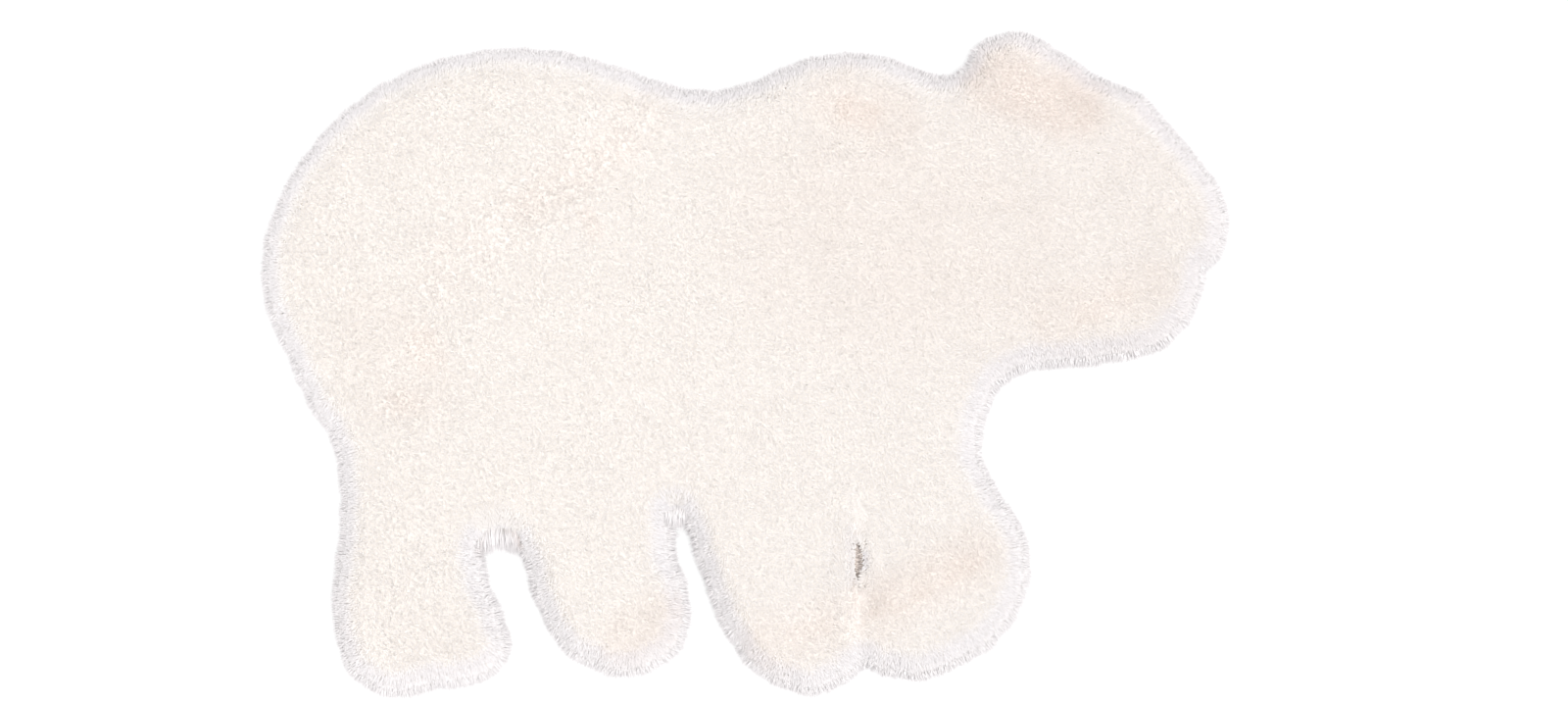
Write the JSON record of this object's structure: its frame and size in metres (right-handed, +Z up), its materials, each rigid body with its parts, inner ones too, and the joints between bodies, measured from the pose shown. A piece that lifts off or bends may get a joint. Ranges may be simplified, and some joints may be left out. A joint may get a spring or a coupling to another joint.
{
  "type": "animal-shaped plush rug",
  "caption": "Small flat plush rug cut to the outline of a standing bear, with soft uneven cream pile on top, rounded furry edges and a plain flat underside.",
  "frame": {"origin": "centre of the rug's box, on the floor that the underside rests on", "axes": "+X towards the bear's head, +Y towards its back, +Z up out of the floor"},
  "size_m": [0.9034, 0.6248, 0.0197],
  "materials": {
    "plush": "cream plush pile, matte"
  },
  "bodies": {
    "root": {"rug": "plush"}
  },
  "joints": []
}
